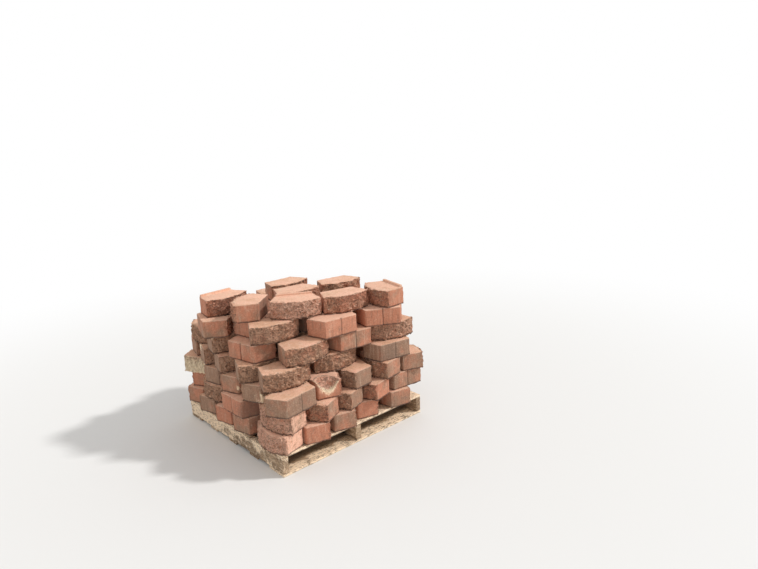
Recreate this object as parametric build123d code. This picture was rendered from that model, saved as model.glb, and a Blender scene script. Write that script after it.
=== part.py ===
from build123d import *
import os

# Pallet, in mm. X runs along the deck boards, Y along the stringers, Z up.
PALLET_WIDTH = 1016.0
PALLET_LENGTH = 1067.0
STRINGER_WIDTH = 38.0
STRINGER_HEIGHT = 89.0
BOARD_THICKNESS = 16.0
LEAD_BOARD_WIDTH = 140.0
INNER_BOARD_WIDTH = 89.0
TOP_INNER_BOARDS = 5
BOTTOM_INNER_BOARDS = 3

# Retaining wall block: outline widths from the split front to the smooth back.
BLOCK_WIDTH = 292.0
BLOCK_DEPTH = 180.0
BLOCK_HEIGHT = 101.6
FACE_WIDTH = 120.0
FACE_RETURN = 45.0
BACK_WIDTH = 206.0
GROOVE_WIDTH = 10.0
GROOVE_DEPTH = 4.0
LIP_DEPTH = 16.0
LIP_HEIGHT = 12.0

DECK_TOP = 2 * BOARD_THICKNESS + STRINGER_HEIGHT

# Hand-set blocks, lowest course first: x, y of the block's middle from the near corner
# of the deck, and the turn in degrees (0 shows the split front to the near side).
# They suit a block of LAYOUT_BLOCK width and depth, and spread from LAYOUT_MIDDLE for a larger one.
LAYOUT_BLOCK = (292.0, 180.0)
LAYOUT_MIDDLE = (508.0, 533.5)
COURSES = [
    [(58, 121, -92), (243, 97, 90), (428, 104, 92), (613, 125, 91), (838, 95, 94),
     (112, 395, 175), (102, 580, 175), (103, 791, 178), (119, 985, 180),
     (925, 420, 92), (925, 724, 88), (930, 975, 180), (415, 972, 178), (678, 935, 90)],
    [(84, 116, -88), (282, 97, -82), (471, 112, -88), (663, 95, -94), (900, 68, 174),
     (60, 440, 92), (56, 714, -88), (150, 980, 188),
     (918, 420, 88), (921, 724, 92), (926, 975, 178), (440, 972, 182), (691, 935, 90)],
    [(118, 67, 190), (360, 128, 88), (558, 117, -102), (762, 94, -98), (955, 80, 87),
     (136, 317, 185), (120, 512, 178), (118, 705, 174), (80, 945, 112),
     (932, 420, 92), (928, 724, 88), (934, 975, 180), (415, 972, 178), (678, 935, 90)],
    [(143, 145, -3), (480, 165, -3), (808, 62, 172),
     (122, 354, -3), (121, 592, 4), (125, 782, 3), (165, 980, 5),
     (920, 380, 88), (924, 684, 92), (920, 980, 182), (470, 985, 178)],
    [(275, 142, 2), (587, 150, 174), (855, 88, -18),
     (122, 403, 100), (118, 654, 5), (99, 905, -95),
     (930, 420, 92), (926, 724, 88), (928, 975, 182), (355, 972, 178), (598, 935, 90)],
    [(482, 146, 176), (790, 92, 150), (194, 306, -9), (52, 680, 73), (226, 490, 172),
     (480, 350, 180), (800, 320, 2), (526, 550, 3), (830, 550, -2),
     (330, 740, 178), (630, 740, 180), (930, 735, 180), (630, 945, 2)],
    [(598, 183, -10), (342, 291, -32), (162, 489, -137), (125, 700, 8), (837, 120, -104),
     (785, 460, -5), (480, 480, -5), (560, 700, 5)],
]
LIPPED_TOP_BLOCKS = (1, 3, 4)
CORE_COURSES = 5
CORE_WIDTH = 460.0
CORE_LENGTH = 500.0


def box(x0, x1, y0, y1, z0, z1):
    """Axis-aligned box between two corners."""
    return Pos((x0 + x1) / 2, (y0 + y1) / 2, (z0 + z1) / 2) * Box(x1 - x0, y1 - y0, z1 - z0)


def board_centres(count):
    """Middle of every board along Y: a lead board flush with each end, the rest evenly between."""
    end = (PALLET_LENGTH - LEAD_BOARD_WIDTH) / 2
    pitch = 2 * end / (count + 1)
    return [-end + pitch * i for i in range(count + 2)]


def board_row(inner_count, z0):
    """Boards across the stringers, near end first."""
    centres = board_centres(inner_count)
    boards = []
    for i, y in enumerate(centres):
        lead = i in (0, len(centres) - 1)
        half = (LEAD_BOARD_WIDTH if lead else INNER_BOARD_WIDTH) / 2
        boards.append(box(-PALLET_WIDTH / 2, PALLET_WIDTH / 2, y - half, y + half, z0, z0 + BOARD_THICKNESS))
    return boards


def stringers():
    """Three boards on edge along the pallet, left one first."""
    reach = (PALLET_WIDTH - STRINGER_WIDTH) / 2
    top = BOARD_THICKNESS + STRINGER_HEIGHT
    half = STRINGER_WIDTH / 2
    return [box(x - half, x + half, -PALLET_LENGTH / 2, PALLET_LENGTH / 2, BOARD_THICKNESS, top)
            for x in (-reach, 0, reach)]


def block_outline():
    """Plan of one block about its middle, the split front towards -Y, a groove in the back."""
    front = -BLOCK_DEPTH / 2
    back = BLOCK_DEPTH / 2
    right = [(FACE_WIDTH / 2, front), (BLOCK_WIDTH / 2, front + FACE_RETURN), (BACK_WIDTH / 2, back),
             (GROOVE_WIDTH / 2, back), (0, back - GROOVE_DEPTH)]
    left = [(-x, y) for x, y in reversed(right[:-1])]
    return right + left


def layout_place(x, y, z):
    """Where a layout point lies on the pallet, opened up so that larger blocks still clear."""
    spread = max(BLOCK_WIDTH / LAYOUT_BLOCK[0], BLOCK_DEPTH / LAYOUT_BLOCK[1])
    return Pos((x - LAYOUT_MIDDLE[0]) * spread, (y - LAYOUT_MIDDLE[1]) * spread, z)


def block(x, y, turn, z, lipped=False):
    """One block in its place. A block laid upside down shows the lip along its back edge."""
    solid = extrude(make_face(Polyline(*block_outline(), close=True)), BLOCK_HEIGHT)
    if lipped:
        back = BLOCK_DEPTH / 2
        lip = box(-BACK_WIDTH / 2, BACK_WIDTH / 2, back - LIP_DEPTH, back - GROOVE_DEPTH,
                  BLOCK_HEIGHT, BLOCK_HEIGHT + LIP_HEIGHT)
        solid += lip
    return layout_place(x, y, z) * Rot(0, 0, turn) * solid


def course(number):
    """All hand-set blocks of one course, as solids that don't touch."""
    z = DECK_TOP + (number - 1) * BLOCK_HEIGHT
    lipped = LIPPED_TOP_BLOCKS if number == len(COURSES) else ()
    return [block(*place, z, i in lipped) for i, place in enumerate(COURSES[number - 1])]


def stack_core():
    """Plain core in place of the blocks that can't be seen, through the lower courses."""
    top = DECK_TOP + CORE_COURSES * BLOCK_HEIGHT
    return box(-CORE_WIDTH / 2, CORE_WIDTH / 2, -CORE_LENGTH / 2, CORE_LENGTH / 2, DECK_TOP, top)


def save(name, solids):
    export_step(Compound(children=list(solids)), f"parts/{name}.step")


os.makedirs("parts", exist_ok=True)
for name, stringer in zip(("stringer_left", "stringer_middle", "stringer_right"), stringers()):
    save(name, [stringer])
for i, board in enumerate(board_row(TOP_INNER_BOARDS, BOARD_THICKNESS + STRINGER_HEIGHT), 1):
    save(f"top_board_{i}", [board])
for i, board in enumerate(board_row(BOTTOM_INNER_BOARDS, 0), 1):
    save(f"bottom_board_{i}", [board])
for number in range(1, len(COURSES) + 1):
    save(f"block_course_{number}", course(number))
save("stack_core", [stack_core()])
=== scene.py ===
import math
import random

import bpy
from bpy.props import FloatProperty, FloatVectorProperty, PointerProperty
from mathutils import Matrix, Vector


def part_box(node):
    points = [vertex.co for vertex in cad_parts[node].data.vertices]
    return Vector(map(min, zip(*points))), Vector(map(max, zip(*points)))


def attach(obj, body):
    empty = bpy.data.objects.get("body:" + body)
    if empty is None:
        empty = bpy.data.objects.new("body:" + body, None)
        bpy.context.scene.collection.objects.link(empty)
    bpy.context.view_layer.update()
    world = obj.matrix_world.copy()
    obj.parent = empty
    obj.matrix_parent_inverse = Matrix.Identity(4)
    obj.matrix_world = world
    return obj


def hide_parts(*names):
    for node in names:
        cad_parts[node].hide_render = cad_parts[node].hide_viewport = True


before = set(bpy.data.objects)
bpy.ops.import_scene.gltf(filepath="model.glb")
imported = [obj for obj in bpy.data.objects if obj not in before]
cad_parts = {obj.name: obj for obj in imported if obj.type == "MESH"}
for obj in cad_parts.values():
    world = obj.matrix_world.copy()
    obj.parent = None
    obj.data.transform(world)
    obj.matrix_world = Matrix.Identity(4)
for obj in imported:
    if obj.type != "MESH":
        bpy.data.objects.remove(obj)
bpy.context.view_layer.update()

bl_info = {
    "name": "Pallet of retaining wall blocks",
    "version": (1, 0, 0),
    "blender": (4, 5, 0),
    "location": "3D View > Sidebar > Pallet",
    "description": "A weathered wood pallet with seven loose courses of split-face concrete blocks",
    "category": "Add Mesh",
}

# Listed blocks, lowest course first: x, y of the block's middle in mm from the near corner
# of the deck, the turn in degrees, and how far the concrete leans to terracotta (0 is brown).
LAYOUT_MIDDLE = (508.0, 533.5)
COURSES = [
    [(58, 121, -92, 0.7), (243, 97, 90, 0.8), (428, 104, 92, 0.45), (613, 125, 91, 0.85),
     (838, 95, 94, 0.45), (112, 395, 175, 0.5), (102, 580, 175, 0.95), (103, 791, 178, 0.3),
     (119, 985, 180, 0.5), (925, 420, 92, 0.5), (925, 724, 88, 0.6), (930, 975, 180, 0.4),
     (415, 972, 178, 0.6), (678, 935, 90, 0.5)],
    [(84, 116, -88, 0.4), (282, 97, -82, 0.55), (471, 112, -88, 0.35), (663, 95, -94, 0.6),
     (900, 68, 174, 0.45), (60, 440, 92, 0.8), (56, 714, -88, 0.2), (150, 980, 188, 0.7),
     (918, 420, 88, 0.4), (921, 724, 92, 0.6), (926, 975, 178, 0.5), (440, 972, 182, 0.4),
     (691, 935, 90, 0.6)],
    [(118, 67, 190, 0.3), (360, 128, 88, 0.7), (558, 117, -102, 0.3), (762, 94, -98, 0.4),
     (955, 80, 87, 0.45), (136, 317, 185, 0.3), (120, 512, 178, 0.5), (118, 705, 174, 0.15),
     (80, 945, 112, 0.3), (932, 420, 92, 0.5), (928, 724, 88, 0.5), (934, 975, 180, 0.6),
     (415, 972, 178, 0.4), (678, 935, 90, 0.6)],
    [(143, 145, -3, 0.25), (480, 165, -3, 0.35), (808, 62, 172, 0.3), (122, 354, -3, 0.15),
     (121, 592, 4, 0.3), (125, 782, 3, 0.25), (165, 980, 5, 0.4), (920, 380, 88, 0.5),
     (924, 684, 92, 0.4), (920, 980, 182, 0.5), (470, 985, 178, 0.6)],
    [(275, 142, 2, 0.35), (587, 150, 174, 0.5), (855, 88, -18, 0.3), (122, 403, 100, 0.6),
     (118, 654, 5, 0.25), (99, 905, -95, 0.3), (930, 420, 92, 0.5), (926, 724, 88, 0.4),
     (928, 975, 182, 0.5), (355, 972, 178, 0.6), (598, 935, 90, 0.4)],
    [(482, 146, 176, 0.9), (790, 92, 150, 0.95), (194, 306, -9, 0.3), (52, 680, 73, 0.5),
     (226, 490, 172, 0.65), (480, 350, 180, 0.5), (800, 320, 2, 0.5), (526, 550, 3, 0.4),
     (830, 550, -2, 0.5), (330, 740, 178, 0.6), (630, 740, 180, 0.4), (930, 735, 180, 0.5),
     (630, 945, 2, 0.5)],
    [(598, 183, -10, 0.65), (342, 291, -32, 0.7), (162, 489, -137, 0.55), (125, 700, 8, 0.95),
     (837, 120, -104, 0.65), (785, 460, -5, 0.5), (480, 480, -5, 0.6), (560, 700, 5, 0.5)],
]
LIPPED_TOP_BLOCKS = (1, 3, 4)

# The pallet's outline and levels in metres, for painted shade and highlights that depend on place.
PALLET_WIDTH = 1.016
PALLET_LENGTH = 1.067
DECK_TOP = 0.121
COURSE_HEIGHT = 0.1016

# Lime stains and dark patches, some of them painted shade, by (course, block): spots as x, y, z
# and radius in mm and strength, in the block's own frame with its split front towards -Y.
LIME_SPOTS = {
    (3, 1): [(-116, 80, 86, 22, 0.62)],
    (3, 3): [(98, -67, 66, 30, 0.27)],
    (3, 5): [(108, 88, 48, 12, 1.0), (102, 88, 32, 17, 1.0), (92, 88, 20, 20, 1.0),
             (80, 88, 10, 20, 0.9), (114, 62, 22, 24, 0.55)],
    (3, 6): [(96, 88, 40, 24, 0.6)],
    (4, 5): [(-115, 60, 80, 34, 0.7), (-122, 25, 60, 34, 0.7), (-130, 0, 40, 30, 0.6)],
    (5, 4): [(-143, -38, 98, 14, 0.9)],
}
DARK_SPOTS = {
    (2, 5): [(-115, 30, 30, 105, 0.8)],
    (3, 0): [(0, 90, 50, 180, 0.45)],
    (3, 2): [(0, 0, 50, 400, 0.38)],
    (3, 7): [(0, 88, 50, 130, 0.8)],
    (4, 2): [(40, 90, 40, 110, 0.6)],
    # Painted shadow on the back of (7, 2), which faces its neighbour, and painted shade on the
    # front of (7, 3).
    (7, 2): [(0, 95, 50, 130, 0.9)],
    (7, 3): [(0, -90, 40, 210, 0.55)],
}
# Blocks that are paler than the rest, or darkened on all their sides with painted shade, and by how
# much.
BLEACHED = {(1, 0): 1.4, (2, 0): 0.85, (5, 2): 0.45, (6, 0): 0.12, (6, 2): 0.2, (6, 4): 0.25,
            (7, 0): 0.15, (7, 1): 1.15, (7, 6): 0.2}
SHADED = {(6, 5): 0.95}
LIMED_BACK_BLOCK = (3, 8)

# The block with a cone broken out of its side. The cone, in the block's own frame in metres:
# its tip, how it widens upwards, and how much wider it is along X.
BITTEN_BLOCK = (3, 1)
BITE_TIP = (-0.142, 0.034, 0.032)
BITE_SLOPE = 0.88
BITE_REACH = 1.7

# Block models stand apart on a bench while they are made. Those with spots have a closer mesh.
PLAIN_MODELS = 6
LIPPED_MODELS = 2
BENCH_STEP = 0.5
BENCH_BACK = 3.0
BLOCK_FACES = 4200
DENSE_FACES = 7000
LIP_SUNK = 0.004

# How far the breaking reaches behind the split front, in from its rims, and in from its ends.
SPLIT_REACH = 0.030
RIM_REACH = 0.022
CORNER_REACH = 0.012

# How deep under the front's facets, and how near the broken cone, faces take the split finish.
FRONT_DEPTH = 0.021
BITE_DEPTH = 0.014

# Cuts that break the split front, straight back or along the surface's normals: texture, kind,
# size in metres, depth, contrast, share of the split depth, and the group of vertices it cuts.
STRAIGHT_CUTS = (
    ("split_hollows", "CLOUDS", 0.065, 1, 1.8, 0.45, "split"),
    ("split_chips", "VORONOI", 0.030, 1, 1.6, 0.70, "split"),
    ("split_ledges", "CLOUDS", 0.022, 2, 1.8, 0.30, "split"),
    ("rim_crumble", "CLOUDS", 0.030, 2, 1.5, 0.30, "rim"),
)
INWARD_CUTS = (
    ("split_stones", "CLOUDS", 0.011, 1, 2.2, 0.42, "split"),
    ("rim_chips", "CLOUDS", 0.018, 2, 2.0, 0.28, "rim"),
)

# Cement dust on the boards, from 0 to 1. The middle and right stringers get little, partly as
# painted shade that keeps their ends dark.
BOARD_DUST = {"top_board_1": 0.75, "bottom_board_1": 0.7, "top_board_7": 0.6,
              "stringer_left": 0.34, "stringer_middle": 0.05, "stringer_right": 0.05}
OTHER_BOARD_DUST = 0.4
STRINGER_NODES = ("stringer_left", "stringer_middle", "stringer_right")
TOP_BOARD_NODES = tuple(f"top_board_{i}" for i in range(1, 8))
BOTTOM_BOARD_NODES = tuple(f"bottom_board_{i}" for i in range(1, 6))
ALONG_X, ALONG_Y = 0, 1
STRINGER_CUTS = (8, 70, 22)
BOARD_CELL = 0.005

# Nail heads: where they lie across a board, how deep their middles are, and their own shape.
NAIL_SHARES = (0.28, 0.72)
NAIL_SINK = 0.0012
NAIL_THICKNESS = 0.0016
NAIL_BEVEL = 0.0004

WHITE = (1.0, 1.0, 1.0, 1.0)
RUST = (0.30, 0.15, 0.08)
BLOCK_SEED = 11
STRINGER_SEED = 5
BOARD_SEED = 8
MOST_SHIFT = 40.0

# Edges up to these angles, in degrees, are shaded smooth.
BLOCK_SMOOTH = 23
BOARD_SMOOTH = 35

# The camera, worked out from the blocks' upright edges in the photo.
IMAGE_WIDTH = 758
FOCAL_PIXELS = 567.55
SENSOR_WIDTH = 36.0
CAMERA_PLACE = (-1.854, -2.820, 1.597)
CAMERA_AZIMUTH = 48.0
CAMERA_DOWN = 13.125
CAMERA_ROLL = 2.629
SUN_AZIMUTH = -42.0
SUN_HEIGHT = 40.0
SUN_SPREAD = 5.0
FLOOR_SIZE = 60.0


# -------- settings


def length(name, description, default):
    """A length that the user may change, in metres."""
    return FloatProperty(name=name, description=description, default=default, min=0.0,
                         unit="LENGTH", precision=4)


def colour(name, description, default):
    """A colour that the user may change."""
    return FloatVectorProperty(name=name, description=description, default=default, size=3,
                               min=0.0, max=1.0, subtype="COLOR")


class PALLET_PG_block(bpy.types.PropertyGroup):
    width: length("Width", "Widest part of the block, at the ends of the split front", 0.292)
    depth: length("Depth", "Split front to smooth back", 0.180)
    height: length("Height", "Height of one course", COURSE_HEIGHT)
    face_width: length("Face width", "Middle facet of the split front", 0.120)
    face_return: length("Face return", "How far the outer facets fall back", 0.045)
    back_width: length("Back width", "Width of the smooth back", 0.206)
    groove_width: length("Groove width", "Upright groove in the back", 0.010)
    groove_depth: length("Groove depth", "Depth of the groove", 0.006)
    lip_depth: length("Lip depth", "Lip along the back of the underside", 0.016)
    lip_height: length("Lip height", "How far the lip stands out", 0.012)
    split_depth: length("Split depth", "Scale of the hollows in the split face", 0.0115)
    grain: length("Grain", "Size of the mesh that the split face is broken in", 0.0026)


class PALLET_PG_concrete(bpy.types.PropertyGroup):
    terracotta: colour("Terracotta", "The red of the blended concrete", (0.545, 0.208, 0.117))
    brown: colour("Brown", "The brown of the blended concrete", (0.315, 0.175, 0.108))
    # Charcoal is also the painted shade at the blocks' feet, in the groove, in the split face's
    # sunk relief and on shaded blocks.
    charcoal: colour("Charcoal", "Dirt, pits and hollows", (0.165, 0.108, 0.078))
    salmon: colour("Salmon", "Bleached red of the tops", (0.84, 0.475, 0.33))
    sand: colour("Sand", "Pale grains and dust", (0.72, 0.545, 0.405))
    lime: colour("Lime", "Lime bloom and broken edges", (1.0, 0.80, 0.55))


class PALLET_PG_wood(bpy.types.PropertyGroup):
    grey: colour("Grey", "Weathered wood", (0.44, 0.30, 0.185))
    # The brown, made darker, is also the painted shade under the deck.
    brown: colour("Brown", "Wood in the sheltered parts", (0.20, 0.12, 0.07))
    dust: colour("Dust", "Cement dust on the wood", (1.0, 0.78, 0.55))
    wear: length("Wear", "How deep the grain is weathered", 0.0016)
    nail_head: length("Nail head", "Width of a nail's head", 0.008)


class PALLET_PG_stage(bpy.types.PropertyGroup):
    floor: colour("Floor", "Pale studio floor", (0.80, 0.79, 0.77))
    sun: FloatProperty(name="Sun", description="Strength of the key light", default=2.0, min=0.0)
    fill: FloatProperty(name="Fill", description="Strength of the light from all round",
                        default=0.72, min=0.0)


# -------- finishes


class Value:
    """One number on its way through a node tree, so that its maths reads as it is written."""

    def __init__(self, nodes, socket):
        self.nodes = nodes
        self.socket = socket

    def worked(self, operation, *numbers):
        """A Math node's result."""
        node = self.nodes.node("ShaderNodeMath", {"operation": operation}, dict(enumerate(numbers)))
        return Value(self.nodes, node.outputs[0])

    def __add__(self, other):
        return self.worked("ADD", self, other)

    def __sub__(self, other):
        return self.worked("SUBTRACT", self, other)

    def __rsub__(self, other):
        return self.worked("SUBTRACT", other, self)

    def __mul__(self, other):
        return self.worked("MULTIPLY", self, other)

    __radd__ = __add__
    __rmul__ = __mul__

    def most(self, other):
        """The larger of the two."""
        return self.worked("MAXIMUM", self, other)

    def size(self):
        """The number without its sign."""
        return self.worked("ABSOLUTE", self)

    def fraction(self):
        """How far the number is above a whole one."""
        return self.worked("FRACT", self)

    def between(self, low, high):
        """0 below low, 1 above high, and a smooth step between. It falls if high is the lower."""
        settings = {"interpolation_type": "SMOOTHSTEP", "clamp": True}
        if low < high:
            limits = {1: low, 2: high, 3: 0.0, 4: 1.0}
        else:
            limits = {1: high, 2: low, 3: 1.0, 4: 0.0}
        node = self.nodes.node("ShaderNodeMapRange", settings, {0: self, **limits})
        return Value(self.nodes, node.outputs[0])


class Nodes:
    """A node tree, and the one way that nodes come into it."""

    def __init__(self, tree):
        self.tree = tree

    def node(self, kind, settings, inputs):
        """A node of this kind. Its settings come first, then its sockets' values or links."""
        node = self.tree.nodes.new(kind)
        for key, value in settings.items():
            setattr(node, key, value)
        for key, value in inputs.items():
            self.feed(node.inputs[key], value)
        return node

    def feed(self, socket, value):
        if isinstance(value, Value):
            value = value.socket
        if isinstance(value, bpy.types.NodeSocket):
            self.tree.links.new(value, socket)
        else:
            socket.default_value = value


class Finish(Nodes):
    """A procedural material, with the user's colours and each piece's own shift of its noise."""

    def __init__(self, name, colours, shift_name=None):
        self.material = bpy.data.materials.new(name)
        self.material.use_nodes = True
        super().__init__(self.material.node_tree)
        self.shader = self.tree.nodes["Principled BSDF"]
        self.colours = colours
        self.place = self.node("ShaderNodeTexCoord", {}, {}).outputs["Object"]
        self.shift = self.attribute(shift_name) if shift_name else 0.0

    def tint(self, name, factor=1.0):
        """One of the user's colours, as it is or made lighter or darker."""
        return tuple(min(1.0, part * factor) for part in getattr(self.colours, name))

    def part(self, axis):
        """X, Y or Z of a point's place."""
        return Value(self, self.node("ShaderNodeSeparateXYZ", {}, {0: self.place}).outputs[axis])

    def attribute(self, name):
        node = self.node("ShaderNodeAttribute", {"attribute_name": name}, {})
        return Value(self, node.outputs["Fac"])

    def noise(self, scale, detail, roughness, squeeze=None):
        """Cloudy noise from 0 to 1. A squeeze below 1 draws it out along that axis."""
        place = self.place
        if squeeze:
            settings = {"operation": "MULTIPLY"}
            place = self.node("ShaderNodeVectorMath", settings, {0: place, 1: squeeze}).outputs[0]
        inputs = {"Vector": place, "W": self.shift, "Scale": scale, "Detail": detail,
                  "Roughness": roughness}
        node = self.node("ShaderNodeTexNoise", {"noise_dimensions": "4D"}, inputs)
        return Value(self, node.outputs["Fac"])

    def grains(self, scale):
        """Distance to the middle of the nearest grain."""
        inputs = {"Vector": self.place, "W": self.shift, "Scale": scale}
        node = self.node("ShaderNodeTexVoronoi", {"voronoi_dimensions": "4D"}, inputs)
        return Value(self, node.outputs["Distance"])

    def mix(self, factor, a, b):
        """A colour from a to b."""
        a, b = ((*c, 1.0) if isinstance(c, tuple) else c for c in (a, b))
        inputs = {0: factor, 6: a, 7: b}
        return self.node("ShaderNodeMix", {"data_type": "RGBA"}, inputs).outputs[2]

    def layered(self, base, *layers):
        """Tints laid over the base in turn, each by its share of a value."""
        for value, share, tint in layers:
            base = self.mix(value * share, base, tint)
        return base

    def bump(self, height, distance, under=None):
        inputs = {"Height": height, "Distance": distance, "Strength": 1.0}
        if under is not None:
            inputs["Normal"] = under
        return self.node("ShaderNodeBump", {}, inputs).outputs[0]

    def shade(self, base, roughness, normal):
        for name, value in (("Base Color", base), ("Roughness", roughness), ("Normal", normal)):
            self.feed(self.shader.inputs[name], value)
        return self.material


def blended(f, swirl, sway, low, high, dark, bright):
    """Two tints run together, with more of the bright one where a block leans to terracotta."""
    share = swirl + f.attribute("block_red") * sway - sway / 2
    return f.mix(share.between(low, high), dark, bright)


def bleached(f, base):
    """Paler and pinker where a block is marked with it."""
    share = f.attribute("block_bleach") * f.noise(40.0, 4.0, 0.7).between(0.28, 0.58)
    return f.mix(share, base, f.tint("salmon", 1.05))


def stained_and_shaded(f, base, dark_and_shade_share=0.62):
    """Dark patches, some of them painted shade, and lime bloom where a block is marked with them.
    """
    ragged = f.noise(60.0, 6.0, 0.8) * 1.2 - 0.6
    fringe = f.noise(170.0, 3.0, 0.8) * 1.4 - 0.7
    dark = (f.attribute("block_dark") + ragged * 0.6).between(0.25, 0.75)
    lime = (f.attribute("block_lime") + ragged * 0.9 + fringe * 0.8).between(0.36, 0.66)
    return f.layered(base, (dark, dark_and_shade_share, f.tint("charcoal", 0.95)),
                     (lime, 0.97, f.tint("lime")))


def foot_shade_and_rim_highlight(f, base):
    """Painted shade along the foot of each block and a painted highlight along its top rim."""
    rise = (f.part(2) - DECK_TOP) * (1.0 / COURSE_HEIGHT)
    share = rise.fraction() + f.noise(45.0, 3.0, 0.6) * 0.10 - 0.05
    in_courses = rise.between(len(COURSES) + 0.02, len(COURSES))
    # Painted shade along each block's foot, then a painted highlight along its top rim, in the
    # courses only.
    return f.layered(base,
                     (share.between(0.135, 0.03) * in_courses, 0.85, f.tint("charcoal", 0.35)),
                     (share.between(0.935, 0.985) * in_courses, 0.40, f.tint("sand", 1.05)))


def split_concrete(mix):
    """Broken face: brown and red swirled together, with fine stones, ledges and cracks, and painted
    shade where the relief is sunk.
    """
    f = Finish("split_concrete", mix, "block_shift")
    swirl = f.noise(14.0, 5.0, 0.62)
    soot = f.noise(34.0, 4.0, 0.65)
    coarse = f.noise(105.0, 3.0, 0.75)
    ledges = f.noise(60.0, 4.0, 0.7, (1.0, 1.0, 2.2))
    wander = f.noise(34.0, 4.0, 0.62, (1.0, 1.0, 2.0)) - 0.5
    cracks = wander.size().between(0.020, 0.005) * soot.between(0.36, 0.52)
    stones = f.grains(210.0)
    specks = f.noise(240.0, 2.0, 0.75)
    base = blended(f, swirl, 0.5, 0.36, 0.66, f.tint("brown", 1.78), f.tint("terracotta", 1.16))
    base = f.layered(bleached(f, base),
                     (soot.between(0.55, 0.68), 0.35, f.tint("charcoal")),
                     (coarse.between(0.53, 0.64), 0.27, f.tint("salmon", 0.9)),
                     # Painted shade in the relief's low places: under the ledges, in the cracks and
                     # in the low specks.
                     (ledges.between(0.47, 0.36), 0.42, f.tint("charcoal", 0.6)),
                     (cracks, 0.34, f.tint("charcoal", 0.4)),
                     (stones.between(0.36, 0.20), 0.45, f.tint("salmon", 0.95)),
                     (specks.between(0.47, 0.38), 0.62, f.tint("charcoal", 0.5)))
    normal = f.bump(ledges + coarse * 0.4 - cracks * 0.35, 0.017)
    normal = f.bump(specks - stones * 0.5, 0.0030, normal)
    return f.shade(stained_and_shaded(f, foot_shade_and_rim_highlight(f, base)), 0.93, normal)


def moulded_concrete(mix):
    """Smooth sides and back: patches of both colours, faint upright streaks, painted shade in the
    groove.
    """
    f = Finish("moulded_concrete", mix, "block_shift")
    patches = f.noise(13.0, 4.0, 0.6)
    streaks = f.noise(80.0, 3.0, 0.6, (1.0, 1.0, 0.12))
    soot = f.noise(19.0, 5.0, 0.78)
    sand = f.noise(300.0, 3.0, 0.8)
    pits = f.grains(110.0).between(0.22, 0.07)
    gravel = f.noise(115.0, 3.0, 0.8)
    base = blended(f, patches, 0.8, 0.33, 0.67, f.tint("brown", 1.05), f.tint("terracotta"))
    base = f.layered(bleached(f, base),
                     (streaks.between(0.53, 0.68), 0.26, f.tint("sand")),
                     (streaks.between(0.47, 0.33), 0.36, f.tint("brown", 0.6)),
                     (soot.between(0.52, 0.70), 0.50, f.tint("charcoal", 1.2)),
                     (soot.between(0.42, 0.28), 0.35, f.tint("sand")),
                     (sand.between(0.54, 0.68), 0.35, f.tint("sand")),
                     (sand.between(0.47, 0.33), 0.55, f.tint("charcoal", 0.7)),
                     (pits, 0.60, f.tint("charcoal", 0.5)),
                     (gravel.between(0.53, 0.66), 0.24, f.tint("sand", 1.05)),
                     (gravel.between(0.46, 0.34), 0.32, f.tint("charcoal", 0.8)))
    base = stained_and_shaded(f, foot_shade_and_rim_highlight(f, base))
    # Painted shade in the back's groove.
    base = f.layered(base, (f.attribute("block_groove"), 0.85, f.tint("charcoal", 0.4)))
    normal = f.bump(sand + streaks + gravel, 0.0016)
    normal = f.bump(1 - pits, 0.0018, normal)
    return f.shade(base, 0.90, normal)


def pressed_concrete(mix):
    """Tops and undersides: bleached salmon, sandy, with darker damp spots."""
    f = Finish("pressed_concrete", mix, "block_shift")
    patches = f.noise(11.0, 4.0, 0.55)
    blots = f.noise(26.0, 5.0, 0.68)
    sand = f.noise(300.0, 3.0, 0.75)
    pits = f.grains(95.0).between(0.18, 0.06)
    gravel = f.noise(115.0, 3.0, 0.8)
    base = blended(f, patches, 0.4, 0.30, 0.62, f.tint("brown", 2.2), f.tint("salmon"))
    base = f.layered(base,
                     (blots.between(0.50, 0.66), 0.45, f.tint("sand", 1.1)),
                     (blots.between(0.44, 0.32), 0.35, f.tint("brown", 1.3)),
                     (sand.between(0.52, 0.66), 0.45, f.tint("sand", 1.1)),
                     (sand.between(0.46, 0.34), 0.40, f.tint("brown", 0.9)),
                     (pits, 0.45, f.tint("charcoal")),
                     (gravel.between(0.53, 0.65), 0.38, f.tint("sand", 1.25)),
                     (gravel.between(0.46, 0.35), 0.34, f.tint("brown", 0.95)))
    normal = f.bump(sand + gravel * 1.5, 0.0016)
    normal = f.bump(1 - pits, 0.0018, normal)
    return f.shade(stained_and_shaded(f, base, 0.0), 0.94, normal)


def under_deck_shade(f):
    """How far under the deck, away from its ends and outer sides, a point lies: painted shade
    there.
    """
    from_side = PALLET_WIDTH / 2 - f.part(0).size()
    from_end = PALLET_LENGTH / 2 - f.part(1).size()
    return (from_end.between(0.060, 0.105) * from_side.between(0.012, 0.040)
            * f.part(2).between(0.106, 0.098))


def drawn(axis, along, across):
    """One number for the axis that a board runs along, and another for the rest."""
    return tuple(along if i == axis else across for i in range(3))


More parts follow.
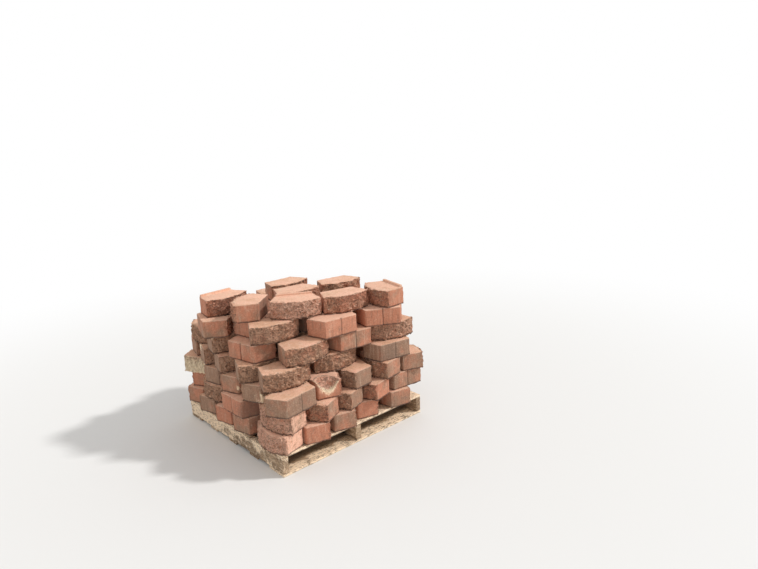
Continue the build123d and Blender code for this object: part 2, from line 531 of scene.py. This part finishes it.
def weathered_wood(name, wood, axis):
    """Grey wood with its grain drawn out along one axis, crusted with cement dust, and painted
    shade under the deck.
    """
    f = Finish(name, wood, "board_shift")
    grain = f.noise(7.0, 5.0, 0.65, drawn(axis, 1.0, 12.0))
    fine = f.noise(26.0, 3.0, 0.6, drawn(axis, 1.0, 12.0))
    patches = f.noise(6.0, 4.0, 0.6)
    lumps = f.noise(58.0, 3.0, 0.7, drawn(axis, 0.35, 1.0))
    crumbs = f.noise(150.0, 3.0, 0.7, drawn(axis, 0.35, 1.0))
    crust = f.noise(8.0, 2.0, 0.5) * 0.55 + f.noise(34.0, 5.0, 0.75) * 0.75
    if axis == ALONG_Y:
        crust = crust + f.part(2).between(0.060, 0.110) * 0.13
        crust = crust + f.part(1).between(-0.35, 0.35) * 0.17
    dust = (crust + f.attribute("board_dust") * 0.5 - 0.375).between(0.44, 0.54)
    base = f.mix(grain.between(0.34, 0.66), f.tint("brown"), f.tint("grey"))
    base = f.layered(base,
                     (patches.between(0.42, 0.64), 0.75, f.tint("grey", 1.45)),
                     (fine.between(0.46, 0.34), 0.75, f.tint("brown", 0.35)),
                     (dust, 0.95, f.tint("dust")),
                     (lumps.between(0.53, 0.63), 0.48, f.tint("dust")),
                     (lumps.between(0.47, 0.34), 0.55, f.tint("brown", 0.8)),
                     (crumbs.between(0.49, 0.38), 0.75, f.tint("brown", 0.9)),
                     # Painted shade on the wood under the deck.
                     (under_deck_shade(f), 0.80, f.tint("brown", 0.30)))
    normal = f.bump(grain + fine * 0.8, 0.003)
    normal = f.bump(dust + lumps * 1.2 + crumbs * 0.8, 0.004, normal)
    return f.shade(base, 0.9, normal)


def rusty_steel(wood):
    """Nail heads, brown with rust."""
    f = Finish("rusty_steel", wood)
    rust = f.noise(700.0, 3.0, 0.6)
    base = f.mix(rust.between(0.4, 0.6), f.tint("brown", 0.5), RUST)
    return f.shade(base, 0.75, f.bump(rust, 0.0003))


# -------- modelling helpers


def nothing_selected():
    if bpy.context.object and bpy.context.object.mode != "OBJECT":
        bpy.ops.object.mode_set(mode="OBJECT")
    bpy.ops.object.select_all(action="DESELECT")


def only(*objects):
    """Select these alone, the last one active."""
    nothing_selected()
    for o in objects:
        o.select_set(True)
    bpy.context.view_layer.objects.active = objects[-1]


def new_cube(centre, size):
    """A cube at its size and place, with the place in its mesh."""
    nothing_selected()
    bpy.ops.mesh.primitive_cube_add(size=1, location=centre, scale=size)
    bpy.ops.object.transform_apply(location=True, rotation=True, scale=True)
    return bpy.context.object


def copied(piece):
    """A copy with its own mesh."""
    only(piece)
    bpy.ops.object.duplicate(linked=False)
    return bpy.context.object


def as_one(pieces, name):
    """All of them joined into one piece."""
    only(*pieces)
    bpy.ops.object.join()
    bpy.context.object.name = name
    return bpy.context.object


def keep_modifier(piece, kind, **settings):
    """Add a modifier and apply it."""
    only(piece)
    modifier = piece.modifiers.new(kind, kind)
    for key, value in settings.items():
        setattr(modifier, key, value)
    bpy.ops.object.modifier_apply(modifier=modifier.name)


def pattern(name, size, depth, contrast, kind="CLOUDS", brightness=1.0):
    """A soft texture that a modifier pushes the surface by."""
    texture = bpy.data.textures.new(name, kind)
    texture.noise_scale = size
    texture.contrast = contrast
    texture.intensity = brightness
    if kind == "CLOUDS":
        texture.noise_depth = depth
    return texture


def weigh(piece, name, weight):
    """A vertex group whose weight is worked out from each vertex's place."""
    group = piece.vertex_groups.new(name=name)
    for v in piece.data.vertices:
        w = weight(v.co)
        if w > 0.0:
            group.add([v.index], w, "REPLACE")


def push_in(piece, texture, depth, group="", coords=None):
    """Push the surface inwards by up to depth where the texture is dark."""
    keep_modifier(piece, "DISPLACE", texture=texture, strength=depth, mid_level=1.0,
                  vertex_group=group, texture_coords="OBJECT" if coords else "LOCAL",
                  texture_coords_object=coords)


def push_along_y(piece, texture, depth, group):
    """Push the surface along Y by up to depth, or along -Y if it is negative."""
    keep_modifier(piece, "DISPLACE", texture=texture, strength=-depth, mid_level=1.0,
                  direction="Y", vertex_group=group)


def step(t):
    """A smooth step from 0 at 0 to 1 at 1."""
    t = max(0.0, min(1.0, t))
    return t * t * (3.0 - 2.0 * t)


def mark(piece, name, value):
    """Numbers on a piece's vertices for its finish to read: a list, or one number for them all."""
    values = value if isinstance(value, list) else [value] * len(piece.data.vertices)
    piece.data.attributes.new(name, "FLOAT", "POINT").data.foreach_set("value", values)


def settled(piece, node_names):
    """The finished piece rides on the pallet and stands for its solids."""
    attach(piece, "root")
    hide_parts(*node_names)


# -------- blocks


def facet_planes(block):
    """A point on and the outward direction of each facet of the split front."""
    half, front = block.face_width / 2, -block.depth / 2
    run = block.width / 2 - half
    slant = Vector((block.face_return, -run, 0.0)).normalized()
    return [(Vector((0.0, front, 0.0)), Vector((0.0, -1.0, 0.0))),
            (Vector((half, front, 0.0)), slant),
            (Vector((-half, front, 0.0)), Vector((-slant.x, slant.y, 0.0)))]


def side_planes(block):
    """A point on and the outward direction of each smooth tapering side."""
    x0, y0 = block.width / 2, -block.depth / 2 + block.face_return
    along = Vector((block.back_width / 2 - x0, block.depth / 2 - y0, 0.0))
    out = Vector((along.y, -along.x, 0.0)).normalized()
    return [(Vector((x0, y0, 0.0)), out), (Vector((-x0, y0, 0.0)), Vector((-out.x, out.y, 0.0)))]


def end_planes(block):
    """A point on and the outward direction of the top and the base."""
    return [(Vector((0.0, 0.0, block.height)), Vector((0.0, 0.0, 1.0))),
            (Vector(), Vector((0.0, 0.0, -1.0)))]


def back_plane(block):
    """A point on and the outward direction of the smooth back."""
    return Vector((0.0, block.depth / 2, 0.0)), Vector((0.0, 1.0, 0.0))


def depth_under(point, planes):
    """How deep a point lies under the nearest of the planes."""
    return min((p - point).dot(n) for p, n in planes)


def block_model(block, number, faces, lipped=False, bitten=False, back_broken=False):
    """One block on the bench: cut to its outline, grooved, then broken and worn."""
    bench = Vector((BENCH_STEP * number, BENCH_BACK, 0.0))
    piece = new_cube(bench + Vector((0.0, 0.0, block.height / 2)),
                     (block.width, block.depth, block.height))
    bpy.ops.object.mode_set(mode="EDIT")
    for point, outward in facet_planes(block)[1:] + side_planes(block):
        bpy.ops.mesh.select_all(action="SELECT")
        bpy.ops.mesh.bisect(plane_co=bench + point, plane_no=outward, use_fill=True,
                            clear_outer=True)
    for x in (-block.groove_width / 2, 0.0, block.groove_width / 2):
        select_back(piece, bench, block)
        bpy.ops.mesh.bisect(plane_co=bench + Vector((x, 0.0, 0.0)), plane_no=(1.0, 0.0, 0.0))
    select_groove_bottom(piece, bench, block)
    bpy.ops.transform.translate(value=(0.0, -block.groove_depth, 0.0))
    if lipped:
        add_lip(bench, block)
    bpy.ops.object.mode_set(mode="OBJECT")
    if bitten:
        bite_out(piece, bench, block)
    keep_modifier(piece, "REMESH", mode="VOXEL", voxel_size=block.grain, use_smooth_shade=False)
    break_front(piece, bench, block)
    if bitten:
        roughen_bite(piece, bench)
    if back_broken:
        break_back(piece, bench, block)
    wear_edges(piece, bench, block)
    keep_modifier(piece, "DECIMATE", ratio=min(1.0, faces / len(piece.data.polygons)))
    only(piece)
    bpy.ops.object.shade_smooth_by_angle(angle=math.radians(BLOCK_SMOOTH))
    piece.data.transform(Matrix.Translation(-bench))
    piece.name = f"block_model_{number}"
    return piece


def select_back(piece, bench, block):
    """In edit mode, select the smooth back's faces."""
    bpy.ops.mesh.select_all(action="DESELECT")
    bpy.ops.object.mode_set(mode="OBJECT")
    for face in piece.data.polygons:
        away = abs(face.center.y - bench.y - block.depth / 2)
        face.select = face.normal.y > 0.9 and away < 0.001
    bpy.ops.object.mode_set(mode="EDIT")


def select_groove_bottom(piece, bench, block):
    """In edit mode, select the two points on the middle of the back."""
    bpy.ops.mesh.select_all(action="DESELECT")
    bpy.ops.mesh.select_mode(type="VERT")
    bpy.ops.object.mode_set(mode="OBJECT")
    for v in piece.data.vertices:
        local = v.co - bench
        v.select = abs(local.x) < 0.0005 and abs(local.y - block.depth / 2) < 0.0005
    bpy.ops.object.mode_set(mode="EDIT")


def add_lip(bench, block):
    """In edit mode, add the lip along the back, sunk a little into the block."""
    y = block.depth / 2 - block.groove_depth - block.lip_depth / 2
    centre = bench + Vector((0.0, y, block.height + block.lip_height / 2 - LIP_SUNK / 2))
    size = (block.back_width, block.lip_depth, block.lip_height + LIP_SUNK)
    bpy.ops.mesh.primitive_cube_add(size=1, location=centre, scale=size)


def break_front(piece, bench, block):
    """Split front: hollows, chips, ledges and stones, its rims crumbled and its ends kept in."""
    facets, sides = facet_planes(block), side_planes(block)
    rims = end_planes(block) + sides

    def near_front(co):
        return step(1.0 - (depth_under(co - bench, facets) - 0.003) / SPLIT_REACH)

    def near_rim(co):
        return near_front(co) * step(1.0 - depth_under(co - bench, rims) / RIM_REACH)

    def near_corner(co):
        return near_front(co) * step(1.5 - depth_under(co - bench, sides) / CORNER_REACH)

    weigh(piece, "split", near_front)
    weigh(piece, "rim", near_rim)
    for cuts, push in ((STRAIGHT_CUTS, push_along_y), (INWARD_CUTS, push_in)):
        for name, kind, size, depth, contrast, share, group in cuts:
            push(piece, pattern(name, size, depth, contrast, kind), block.split_depth * share,
                 group)
    weigh(piece, "corner", near_corner)
    keep_modifier(piece, "SMOOTH", factor=0.5, iterations=7, vertex_group="corner")
    for v in piece.data.vertices:
        for point, outward in sides:
            flare = (v.co - bench - point).dot(outward)
            if flare > 0.0:
                v.co -= outward * flare


def depth_in_bite(local):
    """How far inside the cone broken out of one side a point lies. Negative is outside."""
    off = local - Vector(BITE_TIP)
    spread = math.hypot(off.x / BITE_REACH, off.y)
    return (BITE_SLOPE * off.z - spread) / math.hypot(1.0, BITE_SLOPE)


def bite_out(piece, bench, block):
    """A cone broken out of one side and the top."""
    deep = block.height + 0.020 - BITE_TIP[2]
    middle = bench + Vector(BITE_TIP) + Vector((0.0, 0.0, deep / 2))
    nothing_selected()
    bpy.ops.mesh.primitive_cone_add(vertices=40, radius1=0.0, radius2=deep * BITE_SLOPE,
                                    depth=deep, location=middle, scale=(BITE_REACH, 1.0, 1.0))
    bpy.ops.object.transform_apply(location=True, rotation=True, scale=True)
    cutter = bpy.context.object
    keep_modifier(piece, "BOOLEAN", operation="DIFFERENCE", object=cutter, solver="EXACT")
    bpy.data.objects.remove(cutter)


def roughen_bite(piece, bench):
    """Stones and hollows in the broken cone."""
    weigh(piece, "bite", lambda co: step(1.0 - abs(depth_in_bite(co - bench)) / 0.008))
    push_in(piece, pattern("bite_hollows", 0.040, 2, 1.5), 0.006, "bite")
    push_in(piece, pattern("bite_stones", 0.011, 1, 2.0), 0.003, "bite")


def break_back(piece, bench, block):
    """Back broken off rough, cut inwards from the smooth plane."""
    back = [back_plane(block)]
    weigh(piece, "back", lambda co: step(1.0 - depth_under(co - bench, back) / 0.030))
    push_along_y(piece, pattern("back_hollows", 0.080, 2, 1.7), -0.014, "back")
    push_along_y(piece, pattern("back_ledges", 0.025, 2, 1.7), -0.007, "back")
    push_in(piece, pattern("back_stones", 0.011, 1, 2.0), 0.005, "back")


def wear_edges(piece, bench, block):
    """Edges knocked off here and there."""
    walls = side_planes(block) + end_planes(block) + [back_plane(block)]

    def near_edge(co):
        second = sorted(depth_under(co - bench, [wall]) for wall in walls)[1]
        return step(1.0 - (second - 0.001) / 0.007)

    weigh(piece, "edges", near_edge)
    push_in(piece, pattern("edge_wear", 0.030, 2, 3.0, brightness=0.9), 0.0027, "edges")


def block_finishes(piece, block, finishes, bitten=False, back_broken=False):
    """Give each face the finish of its side: 0 split, 1 moulded, 2 pressed."""
    mark(piece, "block_groove", in_groove(piece, block))
    facets = facet_planes(block)
    for finish in finishes:
        piece.data.materials.append(finish)
    for face in piece.data.polygons:
        up, back = face.normal.z, face.normal.y
        split = depth_under(face.center, facets) < FRONT_DEPTH and abs(up) < 0.8 and back < 0.35
        if bitten and 0.2 < up < 0.97:
            split = split or abs(depth_in_bite(face.center)) < BITE_DEPTH
        if split or back_broken and back > 0.5:
            face.material_index = 0
        elif abs(up) > 0.7 or face.center.z > block.height + 0.001:
            face.material_index = 2
        else:
            face.material_index = 1


def in_groove(piece, block):
    """How deep each vertex lies in the back's groove: 0 at its rims, 1 at its bottom."""
    values = []
    for v in piece.data.vertices:
        deep = (block.depth / 2 - v.co.y) / block.groove_depth
        inside = abs(v.co.x) < block.groove_width / 2 and deep < 1.5
        values.append(step(deep * 1.6 - 0.3) if inside else 0.0)
    return values


def in_spots(piece, spots):
    """How strongly each vertex lies in one of the round spots."""
    return [max(strength * step(1.35 - (v.co * 1000 - Vector(middle)).length / radius)
                for *middle, radius, strength in spots) for v in piece.data.vertices]


def on_broken_back(piece):
    """How limy each vertex of the broken back is, most at its foot."""
    return [step(v.co.y / 0.012 - 4.5) * (0.98 - 5.2 * v.co.z) for v in piece.data.vertices]


def mark_bite(piece, block, red):
    """Bright red inside the broken cone, and lime along its rim on the side and the back."""
    walls = [side_planes(block)[1], back_plane(block)]
    reds, limes, pales = [], [], []
    for v, spot in zip(piece.data.vertices, in_spots(piece, LIME_SPOTS[BITTEN_BLOCK])):
        deep = depth_in_bite(v.co)
        middle = step(1.0 - abs(v.co.y - 0.030) / 0.070)
        wide = math.hypot((deep - 0.002) / (1.0 + 1.6 * middle), depth_under(v.co, walls) * 0.6)
        rim = step(1.35 - wide / 0.0125) * (0.52 + 0.12 * middle)
        below_top = step((0.098 - v.co.z) / 0.010 + 0.5 + 20.0 * v.co.y)
        reds.append(red + 0.5 * step(1.0 - abs(deep) / BITE_DEPTH))
        limes.append(max(spot, rim * below_top))
        pales.append(1.8 * step(1.0 - abs(deep) / 0.012))
    mark(piece, "block_red", reds)
    mark(piece, "block_lime", limes)
    mark(piece, "block_bleach", pales)


def mark_block(piece, key, red, block):
    """What the finishes read: how red the block is, and where it is limy, pale, dark or in painted
    shade.
    """
    if key == BITTEN_BLOCK:
        mark_bite(piece, block, red)
        return
    mark(piece, "block_red", red)
    if key == LIMED_BACK_BLOCK:
        mark(piece, "block_lime", on_broken_back(piece))
    if key in LIME_SPOTS:
        mark(piece, "block_lime", in_spots(piece, LIME_SPOTS[key]))
    if key in BLEACHED:
        mark(piece, "block_bleach", BLEACHED[key])
    if key in SHADED:
        mark(piece, "block_dark", SHADED[key])
    if key in DARK_SPOTS:
        mark(piece, "block_dark", in_spots(piece, DARK_SPOTS[key]))


def block_models(block, finishes):
    """The blocks that the load is copied from, in lists by what sets them apart."""
    kinds = [("plain", {})] * PLAIN_MODELS + [("lipped", {"lipped": True})] * LIPPED_MODELS
    kinds += [("dense", {}), ("dense_lipped", {"lipped": True}), ("bitten", {"bitten": True}),
              ("limed", {"back_broken": True})]
    models = {}
    for number, (kind, settings) in enumerate(kinds):
        faces = BLOCK_FACES if kind in ("plain", "lipped") else DENSE_FACES
        piece = block_model(block, number, faces, **settings)
        block_finishes(piece, block, finishes, kind == "bitten", kind == "limed")
        models.setdefault(kind, []).append(piece)
    return models


def model_for(key, models, draw):
    """The model that a block is copied from, and whether it lies the other way up."""
    number, i = key
    has_lip = number == len(COURSES) and i in LIPPED_TOP_BLOCKS
    model = draw.choice(models["lipped" if has_lip else "plain"])
    turned = draw.random() < 0.5 and not has_lip
    if key == BITTEN_BLOCK:
        return models["bitten"][0], False
    if key == LIMED_BACK_BLOCK:
        return models["limed"][0], False
    if key in LIME_SPOTS or key in DARK_SPOTS:
        return models["dense_lipped" if has_lip else "dense"][0], False
    return model, turned


class PALLET_OT_blocks(bpy.types.Operator):
    """Seven courses of blocks on the pallet, each at its listed place"""

    bl_idname = "pallet.blocks"
    bl_label = "Blocks"
    bl_options = {"REGISTER", "UNDO"}

    def execute(self, context):
        block, mix = context.scene.pallet_block, context.scene.pallet_concrete
        finishes = (split_concrete(mix), moulded_concrete(mix), pressed_concrete(mix))
        models = block_models(block, finishes)
        draw = random.Random(BLOCK_SEED)
        deck_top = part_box("top_board_1")[1][2]
        over = Matrix.Translation((0.0, 0.0, block.height)) @ Matrix.Rotation(math.pi, 4, "Y")
        for number, course in enumerate(COURSES, 1):
            base = deck_top + (number - 1) * block.height
            pieces = []
            for i, (x, y, turn, red) in enumerate(course):
                model, turned = model_for((number, i), models, draw)
                piece = copied(model)
                mark_block(piece, (number, i), red, block)
                spot = ((x - LAYOUT_MIDDLE[0]) / 1000, (y - LAYOUT_MIDDLE[1]) / 1000, base)
                place = Matrix.Translation(spot) @ Matrix.Rotation(math.radians(turn), 4, "Z")
                piece.data.transform(place @ over if turned else place)
                mark(piece, "block_shift", draw.uniform(0.0, MOST_SHIFT))
                pieces.append(piece)
            joined = as_one(pieces, f"blocks_of_course_{number}")
            settled(joined, [f"block_course_{number}"])
        for pieces in models.values():
            for piece in pieces:
                bpy.data.objects.remove(piece)
        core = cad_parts["stack_core"]
        core.data.materials.clear()
        core.data.materials.append(finishes[0])
        return {"FINISHED"}


# -------- pallet


def lay_board(node_name, wood, finish, axis, cuts, draw):
    """A weathered board in place of its solid: split up along its length, then worn inwards."""
    low, high = (Vector(corner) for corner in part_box(node_name))
    piece = new_cube((low + high) / 2, high - low)
    bpy.ops.object.mode_set(mode="EDIT")
    for run, count in enumerate(cuts):
        select_edges_along(piece, run)
        bpy.ops.mesh.subdivide(number_cuts=count)
    bpy.ops.object.mode_set(mode="OBJECT")
    bpy.ops.object.empty_add(location=[draw.uniform(-9, 9) for _ in range(3)])
    coords = bpy.context.object
    coords.scale = drawn(axis, 9.0, 1.0)
    bpy.context.view_layer.update()
    push_in(piece, pattern("wood_grain", 0.012, 2, 1.6), wood.wear, "", coords)
    push_in(piece, pattern("wood_waves", 0.16, 1, 1.2), wood.wear, "", coords)

    def near_edge(co):
        second = sorted(min(co[i] - low[i], high[i] - co[i]) for i in range(3))[1]
        return step(1.0 - second / 0.004)

    weigh(piece, "edges", near_edge)
    push_in(piece, pattern("board_edges", 0.05, 2, 1.5), 0.003, "edges")
    bpy.data.objects.remove(coords)
    only(piece)
    bpy.ops.object.shade_smooth_by_angle(angle=math.radians(BOARD_SMOOTH))
    mark(piece, "board_shift", draw.uniform(0.0, MOST_SHIFT))
    mark(piece, "board_dust", BOARD_DUST.get(node_name, OTHER_BOARD_DUST))
    piece.data.materials.append(finish)
    piece.name = f"worn_{node_name}"
    settled(piece, [node_name])


def select_edges_along(piece, axis):
    """In edit mode, select the edges that run along an axis."""
    bpy.ops.mesh.select_mode(type="EDGE")
    bpy.ops.mesh.select_all(action="DESELECT")
    bpy.ops.object.mode_set(mode="OBJECT")
    vertices = piece.data.vertices
    for edge in piece.data.edges:
        run = vertices[edge.vertices[0]].co - vertices[edge.vertices[1]].co
        edge.select = abs(run[axis]) > 0.99 * run.length
    bpy.ops.object.mode_set(mode="EDIT")


class PALLET_OT_stringers(bpy.types.Operator):
    """Three weathered boards on edge that carry the deck"""

    bl_idname = "pallet.stringers"
    bl_label = "Stringers"
    bl_options = {"REGISTER", "UNDO"}

    def execute(self, context):
        wood = context.scene.pallet_wood
        finish = weathered_wood("stringer_wood", wood, ALONG_Y)
        draw = random.Random(STRINGER_SEED)
        for node_name in STRINGER_NODES:
            lay_board(node_name, wood, finish, ALONG_Y, STRINGER_CUTS, draw)
        return {"FINISHED"}


class PALLET_OT_deck_boards(bpy.types.Operator):
    """Top and bottom boards across the stringers"""

    bl_idname = "pallet.deck_boards"
    bl_label = "Deck boards"
    bl_options = {"REGISTER", "UNDO"}

    def execute(self, context):
        wood = context.scene.pallet_wood
        finish = weathered_wood("board_wood", wood, ALONG_X)
        draw = random.Random(BOARD_SEED)
        for node_name in TOP_BOARD_NODES + BOTTOM_BOARD_NODES:
            low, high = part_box(node_name)
            cuts = (60, max(10, round((high[1] - low[1]) / BOARD_CELL)), 3)
            lay_board(node_name, wood, finish, ALONG_X, cuts, draw)
        return {"FINISHED"}


def nail_places():
    """Where the heads show: two in each board over each stringer, on the board's outer face."""
    columns = [sum(corner[0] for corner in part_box(name)) / 2 for name in STRINGER_NODES]
    places = []
    for name in TOP_BOARD_NODES + BOTTOM_BOARD_NODES:
        low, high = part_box(name)
        z = high[2] - NAIL_SINK if name in TOP_BOARD_NODES else NAIL_SINK
        for x in columns:
            for share in NAIL_SHARES:
                y = low[1] + (high[1] - low[1]) * share
                places.append((x + (share - 0.5) * 0.03, y, z))
    return places


class PALLET_OT_nails(bpy.types.Operator):
    """Rusty nail heads in the boards"""

    bl_idname = "pallet.nails"
    bl_label = "Nails"
    bl_options = {"REGISTER", "UNDO"}

    def execute(self, context):
        wood = context.scene.pallet_wood
        nothing_selected()
        bpy.ops.mesh.primitive_cylinder_add(vertices=12, radius=wood.nail_head / 2,
                                            depth=NAIL_THICKNESS)
        head = context.object
        keep_modifier(head, "BEVEL", width=NAIL_BEVEL, segments=2)
        head.data.materials.append(rusty_steel(wood))
        heads = []
        for place in nail_places():
            heads.append(copied(head))
            heads[-1].data.transform(Matrix.Translation(place))
        joined = as_one(heads, "nail_heads")
        bpy.data.objects.remove(head)
        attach(joined, "root")
        return {"FINISHED"}


# -------- stage


def towards(azimuth, up):
    """The direction at an azimuth and a height above level, in degrees."""
    azimuth, up = math.radians(azimuth), math.radians(up)
    return Vector((math.cos(azimuth) * math.cos(up), math.sin(azimuth) * math.cos(up),
                   math.sin(up)))


def camera_turn():
    """The camera's axes as a rotation."""
    azimuth, roll = math.radians(CAMERA_AZIMUTH), math.radians(CAMERA_ROLL)
    level = Vector((math.sin(azimuth), -math.cos(azimuth), 0.0))
    ahead = towards(CAMERA_AZIMUTH, -CAMERA_DOWN)
    below = ahead.cross(level)
    right = math.cos(roll) * level + math.sin(roll) * below
    under = math.cos(roll) * below - math.sin(roll) * level
    return Matrix((right, -under, -ahead)).transposed().to_4x4()


def floor_finish(stage):
    """Pale floor that fades to the white background away from the pallet."""
    f = Finish("studio_floor", stage)
    f.feed(f.shader.inputs["Base Color"], (*stage.floor, 1.0))
    f.feed(f.shader.inputs["Roughness"], 0.9)
    away = f.node("ShaderNodeVectorMath", {"operation": "LENGTH"}, {0: f.place}).outputs["Value"]
    seen = f.node("ShaderNodeLightPath", {}, {}).outputs["Is Camera Ray"]
    fade = Value(f, away).between(1.5, 5.0) * Value(f, seen)
    white = f.node("ShaderNodeEmission", {}, {"Color": WHITE, "Strength": 1.0})
    shaders = {0: fade, 1: f.shader.outputs[0], 2: white.outputs[0]}
    mixed = f.node("ShaderNodeMixShader", {}, shaders).outputs[0]
    f.feed(f.tree.nodes["Material Output"].inputs["Surface"], mixed)
    return f.material


def studio_world(stage):
    """Even light from all round, and a white background to the camera."""
    world = bpy.data.worlds.new("studio")
    world.use_nodes = True
    n = Nodes(world.node_tree)
    light = n.tree.nodes["Background"]
    n.feed(light.inputs["Color"], WHITE)
    n.feed(light.inputs["Strength"], stage.fill)
    backdrop = n.node("ShaderNodeBackground", {}, {"Color": WHITE})
    ray = n.node("ShaderNodeLightPath", {}, {}).outputs
    seen = Value(n, ray["Is Camera Ray"]).most(ray["Is Glossy Ray"]).most(
        ray["Is Transmission Ray"])
    shaders = {0: seen, 1: light.outputs[0], 2: backdrop.outputs[0]}
    mixed = n.node("ShaderNodeMixShader", {}, shaders).outputs[0]
    n.feed(n.tree.nodes["World Output"].inputs["Surface"], mixed)
    bpy.context.scene.world = world


class PALLET_OT_stage(bpy.types.Operator):
    """Pale floor, soft light and the camera"""

    bl_idname = "pallet.stage"
    bl_label = "Stage"
    bl_options = {"REGISTER", "UNDO"}

    def execute(self, context):
        stage = context.scene.pallet_stage
        nothing_selected()
        bpy.ops.mesh.primitive_plane_add(size=FLOOR_SIZE, location=(0.0, 0.0, 0.0))
        floor = context.object
        floor.name = "studio_floor"
        floor.data.materials.append(floor_finish(stage))
        studio_world(stage)
        bpy.ops.object.light_add(type="SUN")
        sun = context.object
        sun.name = "key_light"
        sun.data.energy = stage.sun
        sun.data.angle = math.radians(SUN_SPREAD)
        sun.rotation_euler = towards(SUN_AZIMUTH, SUN_HEIGHT).to_track_quat("Z", "Y").to_euler()
        bpy.ops.object.camera_add()
        camera = context.object
        camera.name = "photo_camera"
        camera.matrix_world = Matrix.Translation(CAMERA_PLACE) @ camera_turn()
        camera.data.sensor_fit = "HORIZONTAL"
        camera.data.sensor_width = SENSOR_WIDTH
        camera.data.lens = SENSOR_WIDTH * FOCAL_PIXELS / IMAGE_WIDTH
        camera.data.clip_end = 200.0
        context.scene.camera = camera
        context.scene.view_settings.view_transform = "Standard"
        return {"FINISHED"}


# -------- add-on


class PALLET_PT_panel(bpy.types.Panel):
    """Sizes, colours and makers of the pallet of blocks"""

    bl_label = "Pallet of blocks"
    bl_idname = "PALLET_PT_panel"
    bl_space_type = "VIEW_3D"
    bl_region_type = "UI"
    bl_category = "Pallet"

    def draw(self, context):
        for name in GROUPS:
            box = self.layout.box()
            group = getattr(context.scene, name)
            for key in group.__annotations__:
                box.prop(group, key)
        for operator in OPERATORS:
            self.layout.operator(operator.bl_idname)


OPERATORS = (PALLET_OT_stage, PALLET_OT_stringers, PALLET_OT_deck_boards, PALLET_OT_nails,
             PALLET_OT_blocks)
GROUPS = {"pallet_block": PALLET_PG_block, "pallet_concrete": PALLET_PG_concrete,
          "pallet_wood": PALLET_PG_wood, "pallet_stage": PALLET_PG_stage}


def register():
    for cls in (*GROUPS.values(), *OPERATORS, PALLET_PT_panel):
        bpy.utils.register_class(cls)
    for name, group in GROUPS.items():
        setattr(bpy.types.Scene, name, PointerProperty(type=group))


def unregister():
    for name in GROUPS:
        delattr(bpy.types.Scene, name)
    for cls in reversed((*GROUPS.values(), *OPERATORS, PALLET_PT_panel)):
        bpy.utils.unregister_class(cls)


def main():
    register()
    for operator in OPERATORS:
        group, name = operator.bl_idname.split(".")
        getattr(getattr(bpy.ops, group), name)()


if __name__ == "__main__":
    main()
